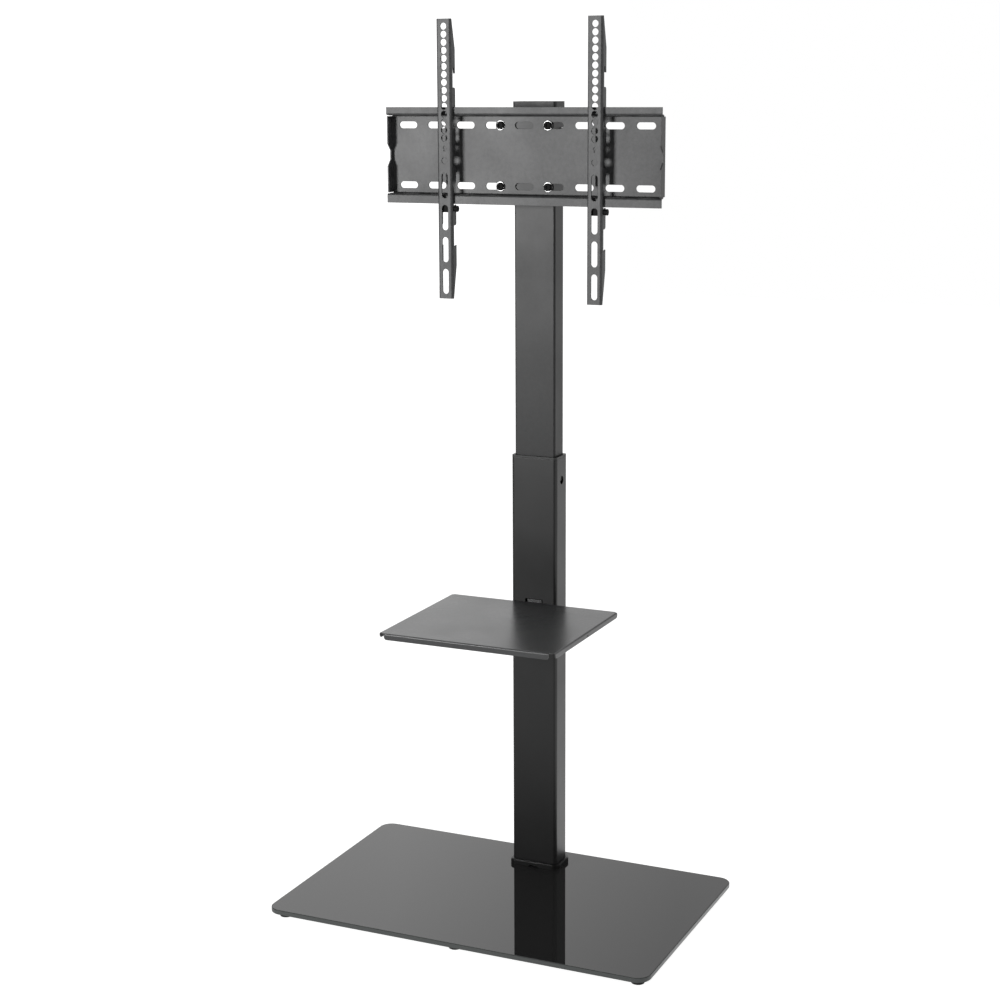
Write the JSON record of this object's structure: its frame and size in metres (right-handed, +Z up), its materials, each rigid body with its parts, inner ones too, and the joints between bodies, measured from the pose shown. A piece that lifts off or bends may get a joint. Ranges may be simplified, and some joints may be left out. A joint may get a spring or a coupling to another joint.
{
  "type": "television floor stand",
  "caption": "Floor stand for a flat screen: black glass base, two-part column that slides for height, shelf, and a slotted plate with hook-on screen rails.",
  "frame": {"origin": "on the floor, under the middle of the glass base", "axes": "+X to the right as seen from the screen side, -Y towards the viewer of the screen, +Z up"},
  "size_m": [0.646, 0.412, 1.4048],
  "materials": {
    "powder_coat": "fine matte black powder coat",
    "tube_coat": "fine matte black powder coat, a little darker",
    "shelf_coat": "satin black coat",
    "black_glass": "glossy black tempered glass, opaque, with ground edges",
    "black_plastic": "matte moulded plastic",
    "rubber": "matte rubber",
    "zinc_steel": "zinc-plated steel",
    "black_steel": "blackened steel, slightly glossy"
  },
  "bodies": {
    "stand": {"base_glass": "black_glass", "rubber_feet": "rubber", "clamp_plate": "powder_coat", "clamp_gasket": "rubber", "foot_gasket": "rubber", "base_bolts": "zinc_steel", "base_washers": "zinc_steel", "column_foot": "powder_coat", "foot_collar": "black_plastic", "lower_tube": "tube_coat", "guide_liner": "black_plastic", "clamp_pad": "black_plastic", "nut_plate": "zinc_steel", "lock_washers": "zinc_steel", "shelf": "shelf_coat", "shelf_bracket": "powder_coat", "shelf_nuts": "zinc_steel", "bracket_screws": "black_steel", "column_nuts": "zinc_steel"},
    "head": {"upper_tube": "tube_coat", "tube_glide": "black_plastic", "top_cap": "black_plastic", "head_bracket": "powder_coat", "bracket_bolts": "black_steel", "bracket_washers": "zinc_steel", "bracket_nuts": "zinc_steel", "wall_plate": "powder_coat", "plate_ends": "powder_coat", "plate_bolts": "black_steel", "plate_washers": "black_steel", "plate_nuts": "zinc_steel"},
    "left_rail_set": {"left_rail": "powder_coat", "left_safety_nut": "black_steel"},
    "right_rail_set": {"right_rail": "powder_coat", "right_safety_nut": "black_steel"},
    "left_safety": {"left_safety_screw": "black_steel"},
    "right_safety": {"right_safety_screw": "black_steel"},
    "left_lock": {"left_lock_bolt": "black_steel"},
    "right_lock": {"right_lock_bolt": "black_steel"}
  },
  "joints": [
    {"name": "height_slide", "type": "slide", "parent": "stand", "child": "head", "axis": [0, 0, 1], "range_m": [-0.1, 0.05]},
    {"name": "left_rail_slide", "type": "slide", "parent": "head", "child": "left_rail_set", "axis": [1, 0, 0], "range_m": [-0.074, 0.076]},
    {"name": "right_rail_slide", "type": "slide", "parent": "head", "child": "right_rail_set", "axis": [1, 0, 0], "range_m": [-0.076, 0.074]},
    {"name": "left_safety_turn", "type": "hinge", "parent": "left_rail_set", "child": "left_safety", "pos_m": [-0.126, 0.0765, 1.1145], "axis": [1, 0, 0], "continuous": true},
    {"name": "right_safety_turn", "type": "hinge", "parent": "right_rail_set", "child": "right_safety", "pos_m": [0.126, 0.0765, 1.1145], "axis": [1, 0, 0], "continuous": true},
    {"name": "left_lock_turn", "type": "hinge", "parent": "stand", "child": "left_lock", "pos_m": [-0.016, 0.171, 0.679], "axis": [0, 1, 0], "continuous": true},
    {"name": "right_lock_turn", "type": "hinge", "parent": "stand", "child": "right_lock", "pos_m": [0.016, 0.171, 0.679], "axis": [0, 1, 0], "continuous": true}
  ]
}
